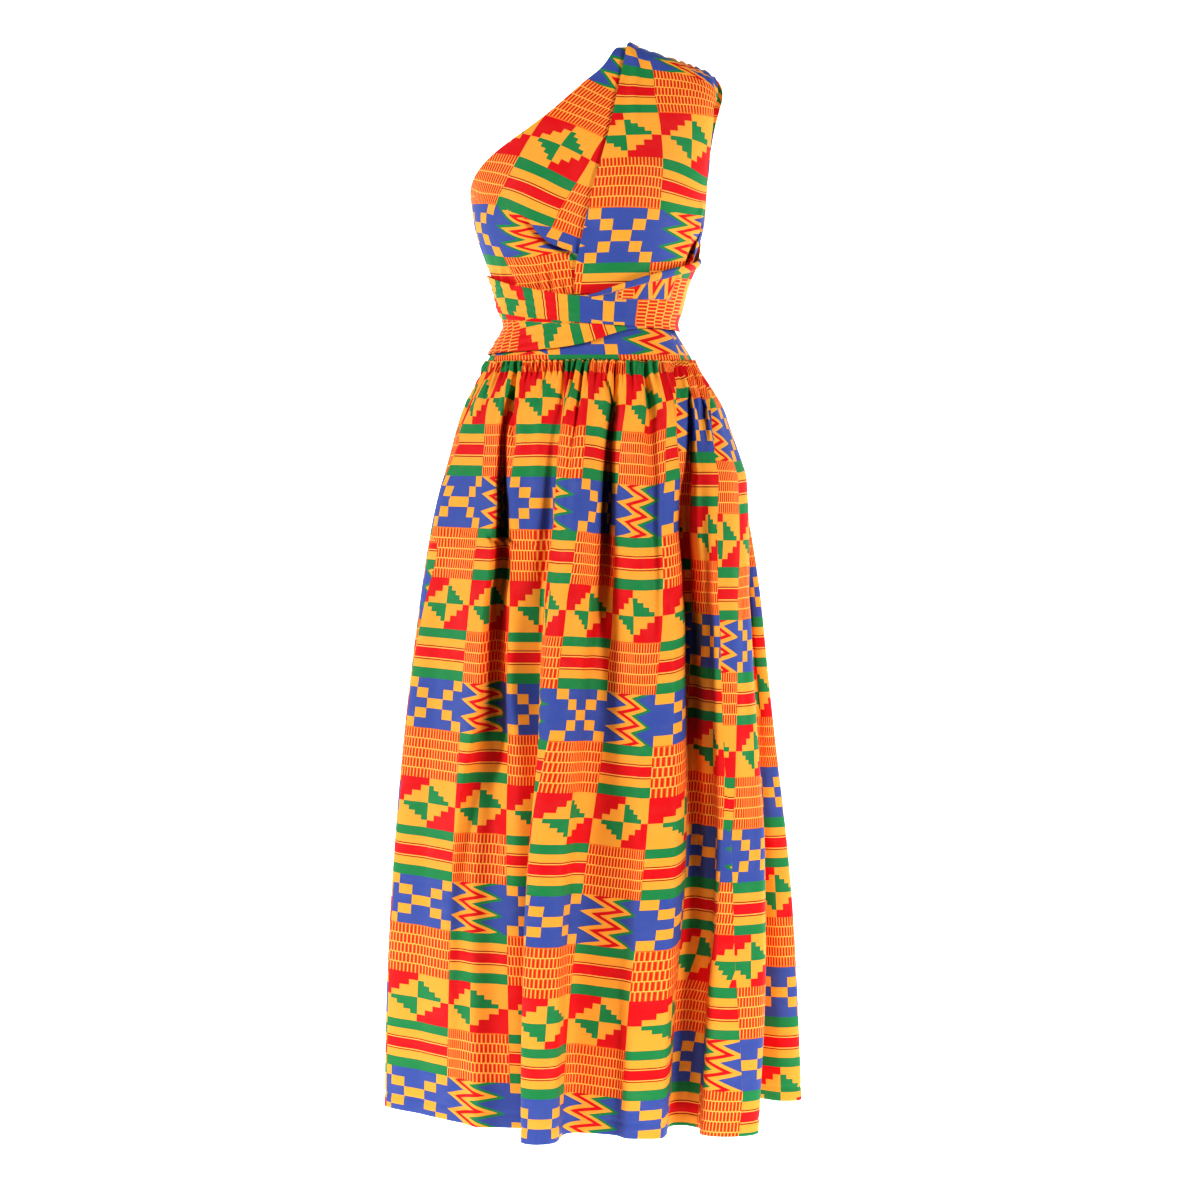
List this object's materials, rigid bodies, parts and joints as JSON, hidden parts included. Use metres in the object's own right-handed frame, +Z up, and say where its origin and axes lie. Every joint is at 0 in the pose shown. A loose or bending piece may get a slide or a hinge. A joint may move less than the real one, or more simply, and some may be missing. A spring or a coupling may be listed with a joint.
{
  "type": "one-shoulder wrap dress of printed cotton",
  "caption": "Floor-length one-shoulder wrap dress in a geometric strip-block cotton print, with a gathered skirt and long straps wound round the waist and tied behind.",
  "frame": {"origin": "inner side of the straps on the wearer's left shoulder, where the wearer holds the dress up", "axes": "+Z up along the standing wearer, -Y towards the front of the dress, +X towards the wearer's left"},
  "size_m": [0.5487, 0.4922, 1.3933],
  "materials": {
    "skirt_front": "matt printed plain-weave cotton",
    "skirt_back": "matt printed plain-weave cotton",
    "waistband_front": "matt printed plain-weave cotton",
    "waistband_back": "matt printed plain-weave cotton",
    "strap_right_front": "matt printed plain-weave cotton",
    "strap_right_back": "matt printed plain-weave cotton",
    "strap_left_front": "matt printed plain-weave cotton",
    "strap_left_back": "matt printed plain-weave cotton",
    "wrap_upper": "matt printed plain-weave cotton",
    "wrap_lower": "matt printed plain-weave cotton",
    "tie_knot": "matt printed plain-weave cotton",
    "tie_end_left": "matt printed plain-weave cotton",
    "tie_end_right": "matt printed plain-weave cotton"
  },
  "bodies": {
    "root": {"skirt_front": "skirt_front", "skirt_back": "skirt_back", "waistband_front": "waistband_front", "waistband_back": "waistband_back", "strap_right_front": "strap_right_front", "strap_right_back": "strap_right_back", "strap_left_front": "strap_left_front", "strap_left_back": "strap_left_back", "wrap_upper": "wrap_upper", "wrap_lower": "wrap_lower", "tie_knot": "tie_knot", "tie_end_left": "tie_end_left", "tie_end_right": "tie_end_right"}
  },
  "joints": []
}
